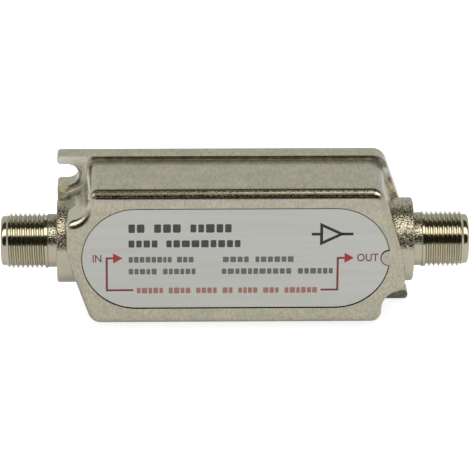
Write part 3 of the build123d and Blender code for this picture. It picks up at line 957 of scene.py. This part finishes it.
class BlockTree:
    """A Geometry Nodes tree that stands a rounded block of ink on each point.

    A block is 1 wide and 1 high before it is scaled to its own size.
    """

    # In shares of a block, but for the number of steps in a corner.
    CORNER = 0.16
    CORNER_STEPS = 4
    UNEVENNESS = 0.05
    MERGE = 1e-4
    SIZE = "block_size"
    INPUTS = {
        "Points": "NodeSocketGeometry",
        "Thickness": "NodeSocketFloat",
        "Corner": "NodeSocketFloat",
        "Unevenness": "NodeSocketFloat",
        "Seed": "NodeSocketInt",
        "Ink": "NodeSocketMaterial",
    }

    def __init__(self) -> None:
        """Builds the tree: one block on each point, realised and inked."""
        self.tree = bpy.data.node_groups.new("ink_blocks", "GeometryNodeTree")
        face = self.tree.interface
        face.new_socket("Geometry", in_out="OUTPUT", socket_type="NodeSocketGeometry")
        self.ids = {
            name: face.new_socket(name, in_out="INPUT", socket_type=kind).identifier
            for name, kind in self.INPUTS.items()
        }
        self.board = Board(self.tree, "GeometryNode")
        given = self.board.add("NodeGroupInput").outputs
        placed = self.board.add(
            "InstanceOnPoints",
            Points=given["Points"],
            Instance=self._block(given["Corner"], given["Thickness"]),
            Rotation=(math.pi / 2, 0, 0),
            Scale=self._scale(given["Unevenness"], given["Seed"]),
        )
        real = self.board.add("RealizeInstances", Geometry=placed)
        inked = self.board.add("SetMaterial", Geometry=real, Material=given["Ink"])
        self.board.feed(self.board.add("NodeGroupOutput"), 0, inked)

    def _block(
        self, corner: bpy.types.NodeSocket, thickness: bpy.types.NodeSocket
    ) -> bpy.types.Node:
        """Adds the closed block: outline, fill and thickness.

        Args:
            corner: The radius of its corners.
            thickness: Its thickness.

        Returns:
            The node that makes it.
        """
        add = self.board.add
        outline = add("CurvePrimitiveQuadrilateral", Width=1.0, Height=1.0)
        rounded = add(
            "FilletCurve", {"mode": "POLY"}, Curve=outline, Radius=corner, Count=self.CORNER_STEPS
        )
        flat = add("FillCurve", {"mode": "NGONS"}, Curve=rounded)
        raised = add("ExtrudeMesh", Mesh=flat, Offset_Scale=thickness, Individual=False)
        joined = add("JoinGeometry")
        for side in (add("FlipFaces", Mesh=flat), raised):
            self.tree.links.new(side.outputs[0], joined.inputs[0])
        return add("MergeByDistance", Geometry=joined, Distance=self.MERGE)

    def _scale(
        self, unevenness: bpy.types.NodeSocket, seed: bpy.types.NodeSocket
    ) -> bpy.types.Node:
        """Adds each block's scale: its own size, with a slightly uneven height.

        Args:
            unevenness: How far the heights stray, as a share.
            seed: Fixes how they stray.

        Returns:
            The node that gives the scale.
        """
        add, feed = self.board.add, self.board.feed
        size = add("InputNamedAttribute", {"data_type": "FLOAT_VECTOR"}, Name=self.SIZE)
        stray = add("FunctionNodeRandomValue", {"data_type": "FLOAT"}, Seed=seed)
        share = Signal(self.tree, unevenness)
        limits = [slot for slot in stray.inputs if slot.enabled]
        self.tree.links.new((1 - share).socket, limits[0])
        self.tree.links.new((1 + share).socket, limits[1])
        height = next(slot for slot in stray.outputs if slot.enabled)
        scale = add("ShaderNodeVectorMath", {"operation": "MULTIPLY"})
        feed(scale, 0, next(slot for slot in size.outputs if slot.enabled))
        feed(scale, 1, add("ShaderNodeCombineXYZ", X=1.0, Y=height, Z=1.0))
        return scale

    def stand(
        self,
        blocks: list[Block],
        face: float,
        thickness: float,
        ink: bpy.types.Material,
        seed: int,
    ) -> bpy.types.Mesh:
        """Runs the tree on one set of blocks.

        Args:
            blocks: The blocks.
            face: The depth along Y that they stand on, in mm.
            thickness: How far they stand out to the front, in mm.
            ink: Their material.
            seed: Fixes the unevenness of their heights.

        Returns:
            The blocks as one plain mesh.
        """
        points = bpy.data.meshes.new("block_points")
        points.from_pydata([metres(block.x, face, block.z) for block in blocks], [], [])
        sizes = points.attributes.new(self.SIZE, "FLOAT_VECTOR", "POINT")
        for item, block in zip(sizes.data, blocks):
            item.vector = (block.width * MM, block.height * MM, 1.0)
        holder = linked("block_points", points)
        modifier = holder.modifiers.new("ink_blocks", "NODES")
        modifier.node_group = self.tree
        values = {
            "Thickness": thickness * MM,
            "Corner": self.CORNER,
            "Unevenness": self.UNEVENNESS,
            "Seed": seed,
            "Ink": ink,
        }
        for name, value in values.items():
            modifier[self.ids[name]] = value
        return baked(holder)


@dataclass(frozen=True)
class PrintedRows:
    """Rows of words in one ink, with the seed of their letters' widths and heights."""

    name: str
    ink: PrintInk
    seed: int
    rows: tuple[TextRow, ...]

    def blocks(self) -> list[Block]:
        """The blocks of every row, each row drawn with a seed of its own."""
        return [block for i, row in enumerate(self.rows) for block in row.blocks(self.seed + i)]


@dataclass(frozen=True)
class Arrow:
    """A bent arrow: the points of its line and the middle of its head's back."""

    name: str
    line: tuple[Point, ...]
    head: Point


@dataclass(frozen=True)
class Word:
    """A word's letters and where it starts and ends along X."""

    name: str
    letters: str
    start: float
    end: float


@dataclass
class LabelPrint:
    """What is printed on the label: rows of words, two arrows, IN and OUT, and a symbol.

    Places are in mm from the middle of the object, X to the right and Z up.
    """

    slot: str = "label_foil"
    sunk: float = 0.004
    proud: float = 0.012
    sign_ink: PrintInk = PrintInk("ink_black", (0.020, 0.021, 0.019), (0.050, 0.052, 0.047))
    line_ink: PrintInk = PrintInk("ink_deep_red", (0.225, 0.042, 0.036), (0.30, 0.09, 0.075))
    head_ink: PrintInk = PrintInk("ink_red", (0.42, 0.035, 0.022), (0.50, 0.07, 0.05))
    prints: tuple[PrintedRows, ...] = (
        PrintedRows(
            "print_heading",
            PrintInk("ink_heading", (0.062, 0.063, 0.058), (0.100, 0.102, 0.094)),
            3,
            (
                TextRow(-18.05, -0.76, 4.76, 6.43, (2, 3, 5), 0.90),
                TextRow(-18.05, 0.75, 1.89, 3.65, (4, 9), 0.74),
            ),
        ),
        PrintedRows(
            "print_rows",
            PrintInk("ink_grey", (0.150, 0.153, 0.140), (0.210, 0.213, 0.195)),
            5,
            (
                TextRow(-18.05, -7.14, -0.80, 0.50, (8, 3)),
                TextRow(-2.19, 9.72, -0.80, 0.50, (4, 6)),
                TextRow(-18.05, -6.80, -3.00, -1.70, (5, 6)),
                TextRow(-2.36, 16.35, -3.00, -1.70, (11, 6)),
            ),
        ),
        PrintedRows(
            "print_red_row",
            PrintInk("ink_pale_red", (0.43, 0.185, 0.150), (0.49, 0.25, 0.21)),
            8,
            (TextRow(-16.7, 13.75, -6.54, -5.24, (5, 4, 4, 2, 4, 3, 6)),),
        ),
    )
    arrows: tuple[Arrow, ...] = (
        Arrow(
            "input_arrow",
            ((-17.27, -5.8), (-21.74, -5.8), (-21.74, 0.13), (-20.4, 0.13)),
            (-20.65, 0.13),
        ),
        Arrow(
            "output_arrow",
            ((14.34, -5.85), (17.16, -5.85), (17.16, 0.04), (18.5, 0.04)),
            (18.28, 0.04),
        ),
    )
    line_width: float = 0.36
    head_length: float = 1.6
    head_half_height: float = 0.93
    head_extra: float = 0.002
    # A word's depth before it is brought to the print's, how much bolder than the font it is,
    # and the steps in its curves.
    letter_depth: float = 0.5
    letter_boldness: float = 0.012
    letter_steps: int = 6
    words: tuple[Word, ...] = (
        Word("input_word", "IN", -24.1, -22.6),
        Word("output_word", "OUT", 20.4, 24.0),
    )
    word_low: float = -0.6
    word_high: float = 0.8
    symbol_left: float = 14.1
    symbol_right: float = 18.3
    symbol_low: float = 2.35
    symbol_high: float = 6.55
    symbol_width: float = 0.5
    lead_start: float = 12.7
    lead_end: float = 19.7
    face: float = field(init=False, default=0.0)

    def build(self) -> None:
        """Makes every printed piece on the label's face."""
        self.face = mm_box("front_label")[0].y
        tree = BlockTree()
        for rows in self.prints:
            self._rows(rows, tree)
        line_ink, head_ink = self.line_ink.make(), self.head_ink.make()
        for arrow in self.arrows:
            self._arrow(arrow, line_ink, head_ink)
        for word in self.words:
            self._word(word, line_ink)
        self._symbol(self.sign_ink.make())

    def _rows(self, rows: PrintedRows, tree: BlockTree) -> None:
        """Prints rows of words as blocks.

        Args:
            rows: The rows.
            tree: The tree that makes the blocks.
        """
        ink = rows.ink.make()
        depth, thickness = self.face + self.sunk, self.sunk + self.proud
        mesh = tree.stand(rows.blocks(), depth, thickness, ink, rows.seed)
        add_piece(rows.name, mesh, ink, self.slot)

    def _arrow(
        self, arrow: Arrow, line_ink: bpy.types.Material, head_ink: bpy.types.Material
    ) -> None:
        """Prints an arrow's line and, slightly thicker, its head.

        Args:
            arrow: The arrow.
            line_ink: Its line's material.
            head_ink: Its head's material.
        """
        self._print(f"{arrow.name}_line", [self._stroke(arrow.line, self.line_width)], line_ink)
        x, z = arrow.head
        half = self.head_half_height
        head = [(x, z - half), (x + self.head_length, z), (x, z + half)]
        self._print(f"{arrow.name}_head", [head], head_ink, self.head_extra)

    @staticmethod
    def _stroke(line: tuple[Point, ...], width: float) -> list[Point]:
        """The outline of a line with square corners.

        Args:
            line: Its points.
            width: Its width.

        Returns:
            The outline, up one side and down the other.
        """
        sides: list[list[Point]] = []
        for way in (1, -1):
            side = []
            for i, point in enumerate(line):
                here = Vector(point)
                before = (here - Vector(line[i - 1])).normalized() if i else None
                after = (Vector(line[i + 1]) - here).normalized() if i + 1 < len(line) else None
                ahead = before or after
                beyond = after or before
                across = Vector((-ahead.y, ahead.x)) + Vector((-beyond.y, beyond.x))
                across *= 1 / (1 + ahead.dot(beyond))
                side.append(tuple(here + across * (way * width / 2)))
            sides.append(side)
        return sides[0] + sides[1][::-1]

    def _print(
        self, name: str, shapes: list[list[Point]], ink: bpy.types.Material, extra: float = 0.0
    ) -> None:
        """Prints flat shapes.

        Args:
            name: The piece's name.
            shapes: The outlines.
            ink: Their material.
            extra: How much thicker than other print they are.
        """
        form = bmesh.new()
        near, far = self.face + self.sunk, self.face - self.proud - extra
        for shape in shapes:
            back, front = (
                [form.verts.new(metres(x, y, z)) for x, z in shape] for y in (near, far)
            )
            form.faces.new(back)
            form.faces.new(front[::-1])
            for i in range(len(shape)):
                j = (i + 1) % len(shape)
                form.faces.new((back[i], front[i], front[j], back[j]))
        bmesh.ops.recalc_face_normals(form, faces=form.faces)
        add_piece(name, mesh_of(form, name), ink, self.slot)

    def _word(self, word: Word, ink: bpy.types.Material) -> None:
        """Prints IN or OUT.

        Args:
            word: The word.
            ink: Its material.
        """
        curve = bpy.data.curves.new(word.name, "FONT")
        curve.body = word.letters
        curve.extrude = self.letter_depth
        curve.offset = self.letter_boldness
        curve.resolution_u = self.letter_steps
        mesh = baked(linked(word.name, curve))
        spots = [vertex.co.copy() for vertex in mesh.vertices]
        low = Vector(min(spot[i] for spot in spots) for i in range(3))
        high = Vector(max(spot[i] for spot in spots) for i in range(3))
        for vertex, spot in zip(mesh.vertices, spots):
            share = Vector((spot[i] - low[i]) / (high[i] - low[i]) for i in range(3))
            vertex.co = metres(
                word.start + share.x * (word.end - word.start),
                self.face + self.sunk - share.z * (self.sunk + self.proud),
                self.word_low + share.y * (self.word_high - self.word_low),
            )
        add_piece(word.name, mesh, ink, self.slot)

    def _symbol(self, ink: bpy.types.Material) -> None:
        """Prints the usual sign for an amplifier: a triangle with a lead on each side.

        Args:
            ink: Its material.
        """
        left, right, width = self.symbol_left, self.symbol_right, self.symbol_width
        middle = (self.symbol_low + self.symbol_high) / 2
        outer = [(left, self.symbol_low), (right, middle), (left, self.symbol_high)]
        inner = self._inset(outer, width)
        sides = [[outer[i], outer[(i + 1) % 3], inner[(i + 1) % 3], inner[i]] for i in range(3)]
        low, high = middle - width / 2, middle + width / 2
        leads = [
            [(start, low), (end, low), (end, high), (start, high)]
            for start, end in ((self.lead_start, left), (right - width, self.lead_end))
        ]
        self._print("amplifier_sign", sides + leads, ink)

    @staticmethod
    def _inset(corners: list[Point], width: float) -> list[Point]:
        """Moves the sides of a polygon inwards.

        Args:
            corners: The polygon's corners.
            width: How far its sides move.

        Returns:
            The new corners.
        """
        moved = []
        count = len(corners)
        for i, corner in enumerate(corners):
            here = Vector(corner)
            back = (Vector(corners[i - 1]) - here).normalized()
            on = (Vector(corners[(i + 1) % count]) - here).normalized()
            half = back.angle(on) / 2
            moved.append(tuple(here + (back + on).normalized() * (width / math.sin(half))))
        return moved


@dataclass
class PortGuide:
    """The insulating guide in one port's mouth. Lengths in mm, along the ports' axis."""

    side: int
    port: str
    finish: Moulded = Moulded(
        "guide_ivory", (0.74, 0.73, 0.67), (0.66, 0.64, 0.56), 0.42, 0.3, 0.002
    )
    outer_radius: float = 3.17
    hole_radius: float = 0.6
    funnel_radius: float = 1.7
    funnel_depth: float = 0.9
    funnel_edge: float = 0.12
    throat_bevel: float = 0.06
    throat_depth: float = 0.1
    lip: float = 0.22
    lip_steps: int = 4
    collar_edge: float = 0.03
    dish: float = 0.12
    dish_start: float = 2.2
    dish_end: float = 2.0
    steps: int = 96
    crease: float = 40.0

    def build(self) -> None:
        """Turns the guide with rounded lips and a shallow dish, in place of the CAD one."""
        node = f"{self.port}_entry_guide"
        low, high = mm_box(node)
        outer, inner = (high.x, low.x) if self.side > 0 else (-low.x, -high.x)
        mesh = self._turn(self._profile(inner, outer))
        piece = add_piece(f"{self.port}_guide", mesh, self.finish.make(), "insulator")
        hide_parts(node)

    def _profile(self, inner: float, outer: float) -> list[Point]:
        """Draws the guide's section.

        Args:
            inner: Where it starts along X, outwards.
            outer: Where it ends.

        Returns:
            Its closed outline, as places along X and radii.
        """
        radius, lip = self.outer_radius, self.lip
        floor = outer - self.dish
        throat = outer - self.funnel_depth
        return [
            (inner, self.hole_radius),
            *self._arc((inner + lip, radius - lip), lip, 180, 90),
            *self._arc((outer - lip, radius - lip), lip, 90, 0),
            (floor, radius - self.dish_start * lip),
            (floor, self.funnel_radius + self.dish_end * lip),
            (outer - self.collar_edge, self.funnel_radius + lip),
            (outer - self.funnel_edge, self.funnel_radius),
            (throat, self.hole_radius + self.throat_bevel),
            (throat - self.throat_depth, self.hole_radius),
        ]

    def _arc(self, centre: Point, radius: float, start: float, end: float) -> list[Point]:
        """Draws an arc.

        Args:
            centre: Its centre.
            radius: Its radius.
            start: The angle where it starts, in degrees.
            end: The angle where it ends.

        Returns:
            The points of its steps.
        """
        points = []
        for i in range(self.lip_steps + 1):
            angle = math.radians(start + (end - start) * i / self.lip_steps)
            points.append(
                (centre[0] + radius * math.cos(angle), centre[1] + radius * math.sin(angle))
            )
        return points

    def _turn(self, profile: list[Point]) -> bpy.types.Mesh:
        """Spins a closed section round the ports' axis.

        Args:
            profile: Places along X, outwards, and radii.

        Returns:
            The closed ring.
        """
        form = bmesh.new()
        rings = []
        for i in range(self.steps):
            angle = 2 * math.pi * i / self.steps
            cosine, sine = math.cos(angle), math.sin(angle)
            places = (metres(self.side * x, r * cosine, r * sine) for x, r in profile)
            rings.append([form.verts.new(place) for place in places])
        for i, ring in enumerate(rings):
            following = rings[(i + 1) % self.steps]
            for j in range(len(profile)):
                k = (j + 1) % len(profile)
                form.faces.new((ring[j], ring[k], following[k], following[j]))
        bmesh.ops.recalc_face_normals(form, faces=form.faces)
        mesh = mesh_of(form, "ring")
        smooth(mesh, self.crease)
        return mesh


@dataclass
class RearCover:
    """The pressed cover, with its drawn edges rounded. Lengths in mm, angles in degrees."""

    finish: WorkedMetal = WorkedMetal(
        "tinned_sheet", (0.60, 0.595, 0.55), (0.56, 0.55, 0.505), 0.24, Lay.ALONG, 0.002, 5.0
    )
    edge_width: float = 0.14
    edge_steps: int = 3
    edge_angle: float = 40.0
    merge: float = 0.001
    flatness: float = 0.4

    def build(self, frame: dict) -> None:
        """Makes a rounded copy of the CAD cover and shows it instead.

        Args:
            frame: The loaded frame.
        """
        form = bmesh.new()
        form.from_mesh(frame["nodes"]["rear_cover"].data)
        bmesh.ops.remove_doubles(form, verts=form.verts, dist=self.merge * MM)
        bmesh.ops.dissolve_limit(
            form, angle_limit=math.radians(self.flatness), verts=form.verts, edges=form.edges
        )
        holder = linked("cover_copy", mesh_of(form, "cover_copy"))
        bevel = holder.modifiers.new("edges", "BEVEL")
        bevel.width = self.edge_width * MM
        bevel.segments = self.edge_steps
        bevel.limit_method = "ANGLE"
        bevel.angle_limit = math.radians(self.edge_angle)
        mesh = baked(holder)
        smooth(mesh)
        piece = add_piece("pressed_cover", mesh, self.finish.make(), "cover_plate")
        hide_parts("rear_cover")


class Interior:
    """Everything on and round the circuit board, which the closed case hides."""

    FINISHES = {
        WorkedMetal(
            "solder_tin", (0.62, 0.61, 0.58), (0.42, 0.42, 0.41), 0.22, Lay.ROUND, 0.004, 0.6
        ): ("solder_joints", "chip_end_caps", "transistor_leads", "regulator_leads"),
        WorkedMetal(
            "sprung_brass", (0.72, 0.52, 0.20), (0.50, 0.33, 0.12), 0.20, Lay.TURNED, 0.001, 1.2
        ): ("input_centre_contact", "output_centre_contact"),
        WorkedMetal(
            "board_copper", (0.66, 0.32, 0.18), (0.36, 0.15, 0.08), 0.30, Lay.ROUND, 0.001, 0.9
        ): ("board_tracks",),
        WorkedMetal(
            "enamelled_wire", (0.48, 0.16, 0.06), (0.30, 0.08, 0.03), 0.18, Lay.ROUND, 0.0005, 0.8
        ): ("input_choke_winding", "output_choke_winding"),
        WorkedMetal(
            "drawn_can", (0.74, 0.74, 0.74), (0.60, 0.60, 0.60), 0.25, Lay.ROUND, 0.001, 1.5
        ): ("smoothing_capacitor",),
        WorkedMetal(
            "plated_steel", (0.58, 0.60, 0.61), (0.44, 0.45, 0.42), 0.28, Lay.ROUND, 0.001, 0.7
        ): ("board_screws",),
        Moulded("moulded_epoxy", (0.012, 0.012, 0.013), (0.035, 0.034, 0.032), 0.55): (
            "input_stage_transistor",
            "output_stage_transistor",
            "voltage_regulator",
            "surge_diode",
            "capacitor_base",
        ),
        Moulded("sintered_ferrite", (0.022, 0.022, 0.024), (0.060, 0.058, 0.055), 0.48, 0.09): (
            "input_choke_core",
            "output_choke_core",
        ),
        Moulded("chip_ceramic", (0.33, 0.22, 0.12), (0.42, 0.31, 0.19), 0.45, 0.08): (
            "coupling_capacitors",
            "bypass_capacitors",
        ),
        Moulded("resistor_glaze", (0.008, 0.009, 0.012), (0.02, 0.02, 0.025), 0.22, 0.15, 0.001): (
            "bias_resistors",
        ),
        Moulded("holder_resin", (0.76, 0.75, 0.70), (0.66, 0.64, 0.58), 0.40, 0.25, 0.002): (
            "input_contact_holder",
            "output_contact_holder",
        ),
        Laminate(): ("circuit_board",),
    }

    def build(self, frame: dict) -> None:
        """Gives each hidden CAD node of the loaded frame its finish."""
        dress(frame, {name: finish for finish, names in self.FINISHES.items() for name in names})


@dataclass(frozen=True)
class PhotoCamera:
    """The camera that took the product picture, fitted to the outline.

    Lengths in mm, angles in degrees.
    """

    elevation: float = 24.6
    yaw: float = 1.69
    roll: float = 0.45
    distance: float = 598.0
    focal_pixels: float = 3514.0
    frame_pixels: float = 470.0
    sensor: float = 36.0
    aim_right: float = -0.044
    aim_up: float = -0.765
    clip_ratio: float = 100.0

    def make(self) -> bpy.types.Object:
        """Adds the camera and makes it the scene's.

        Returns:
            The camera.
        """
        tilt, turn, roll = (math.radians(a) for a in (self.elevation, self.yaw, self.roll))
        ahead = Vector(
            (math.sin(turn) * math.cos(tilt), math.cos(turn) * math.cos(tilt), -math.sin(tilt))
        )
        level = Vector((math.cos(turn), -math.sin(turn), 0))
        upright = level.cross(ahead)
        right = math.cos(roll) * level + math.sin(roll) * upright
        up = right.cross(ahead)
        data = bpy.data.cameras.new("photo_camera")
        data.sensor_width = self.sensor
        data.lens = self.focal_pixels / self.frame_pixels * self.sensor
        data.clip_start = self.distance * MM / self.clip_ratio
        data.clip_end = self.distance * MM * self.clip_ratio
        camera = linked("photo_camera", data)
        place = Vector((0, 0, AXIS_HEIGHT))
        place -= self.distance * ahead + self.aim_right * right + self.aim_up * up
        turned = Matrix((right, up, -ahead)).transposed().to_4x4()
        camera.matrix_world = Matrix.Translation(place * MM) @ turned
        bpy.context.scene.camera = camera
        return camera


@dataclass(frozen=True)
class SoftBox:
    """A square lamp. Its place and size in metres, its power in watts."""

    name: str
    place: Place
    size: float
    power: float

    def add(self, target: Place) -> None:
        """Adds the lamp, which lights the object but isn't seen in it.

        Args:
            target: Where it points.
        """
        data = bpy.data.lights.new(self.name, "AREA")
        data.size = self.size
        data.energy = self.power
        lamp = linked(self.name, data)
        ahead = (Vector(target) - Vector(self.place)).normalized()
        turned = ahead.to_track_quat("-Z", "Y").to_matrix().to_4x4()
        lamp.matrix_world = Matrix.Translation(self.place) @ turned
        lamp.visible_glossy = False
        lamp.visible_camera = False


@dataclass(frozen=True)
class Studio:
    """A pale table in a studio whose walls and strip light show in the metal.

    The bands are angles in degrees round the object's long axis: 0 is level in front of it, 90
    straight up and 180 level behind it. The floor's size and the lamps' places are in metres.
    """

    floor_size: float = 6.0
    floor_tone: float = 0.60
    camera_lift: float = 0.80
    gloss_lift: float = 0.20
    dark_from: float = 1.5
    light_from: float = 46.5
    light_to: float = 77.5
    dark_to: float = 118.7
    edge: float = 2.0
    front_tone: Colour = (0.50, 0.47, 0.41)
    dark_tone: Colour = (0.018, 0.016, 0.011)
    dusk_tone: Colour = (0.052, 0.046, 0.035)
    light_tone: Colour = (2.20, 2.12, 1.98)
    back_tone: Colour = (0.580, 0.602, 0.580)
    end_tone: Colour = (0.50, 0.48, 0.42)
    end_walls: Rise = Rise(0.80, 0.93)
    soft_tone: float = 0.45
    target: Place = (0, 0, 0.013)
    lamps: tuple[SoftBox, ...] = (
        SoftBox("overhead", (0.1, -0.15, 0.85), 0.5, 3.4),
        SoftBox("front", (-0.3, -0.9, 0.5), 0.5, 1.6),
        SoftBox("back", (0.3, 0.9, 0.6), 0.5, 1.2),
    )

    def make(self) -> None:
        """Builds the floor, the surroundings and the lamps."""
        self._make_floor()
        self._make_world()
        for lamp in self.lamps:
            lamp.add(self.target)

    def _make_floor(self) -> None:
        """A large pale floor, lifted to plain white for the camera where nothing shades it."""
        mesh = bpy.data.meshes.new("floor")
        half = self.floor_size / 2
        corners = [(-half, -half, 0), (half, -half, 0), (half, half, 0), (-half, half, 0)]
        mesh.from_pydata(corners, [], [(0, 1, 2, 3)])
        floor = linked("floor", mesh)
        material = bpy.data.materials.new("table_white")
        material.use_nodes = True
        board = Board(material.node_tree)
        matt = board.add("BsdfDiffuse", Color=(self.floor_tone,) * 3)
        path = board.add("LightPath")
        seen = board.signal(path, "Is Camera Ray") * self.camera_lift
        seen = seen + board.signal(path, "Is Glossy Ray") * self.gloss_lift
        lift = board.add("Emission", Color=WHITE, Strength=seen)
        board.add("OutputMaterial", Surface=board.both(matt, lift))
        mesh.materials.append(material)
        floor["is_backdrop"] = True

    def _stops(self) -> list[tuple[float, Colour]]:
        """Turns the bands into a ramp's stops.

        Returns:
            Positions, as shares of the half turn, and tones.
        """
        stops = [(0.0, self.front_tone)]
        bands = (
            (self.dark_from, self.front_tone, self.dark_tone),
            (self.light_from, self.dark_tone, self.light_tone),
            (self.light_to, self.light_tone, self.dusk_tone),
            (self.dark_to, self.dusk_tone, self.back_tone),
        )
        for angle, before, after in bands:
            stops += [((angle - self.edge) / 180, before), ((angle + self.edge) / 180, after)]
        return stops + [(1.0, self.back_tone)]

    def _make_world(self) -> None:
        """Surroundings: white to the camera, banded in the metal, plain for soft light."""
        world = bpy.data.worlds.new("studio")
        bpy.context.scene.world = world
        world.use_nodes = True
        board = Board(world.node_tree)
        way = board.add("SeparateXYZ", Vector=board.add("TexCoord").outputs["Generated"])
        behind, up = board.signal(way, "Y"), board.signal(way, "Z")
        half_turns = up.angle_over(0 - behind) * (1 / math.pi)
        bands = board.add("ValToRGB", {"stops": self._stops()}, Fac=half_turns)
        ends = self.end_walls.of(abs(board.signal(way, "X")))
        path = board.add("LightPath")
        gloss = board.signal(path, "Is Glossy Ray")
        seen = board.signal(path, "Is Camera Ray")
        reflected = board.mix(ends, bands, self.end_tone)
        colour = board.mix(gloss, (self.soft_tone,) * 3, reflected)
        colour = board.mix(seen, colour, WHITE)
        board.add("OutputWorld", Surface=board.add("Background", Color=colour, Strength=1.0))


def main() -> None:
    """Builds the object's looks and the scene round it."""
    logging.basicConfig(level=logging.INFO, format="%(message)s")
    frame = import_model()
    cad_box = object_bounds()
    dress(frame, {"housing": CastNickel(), "front_label": BrushedFoil()})
    LabelPrint().build()
    PortGuide(1, "output").build()
    PortGuide(-1, "input").build()
    RearCover().build(frame)
    Interior().build(frame)
    PhotoCamera().make()
    Studio().make()
    bpy.context.scene.view_settings.view_transform = "Standard"
    shown_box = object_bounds()
    [[list(corner) for corner in box] for box in (cad_box, shown_box)]


if __name__ == "__main__":
    main()
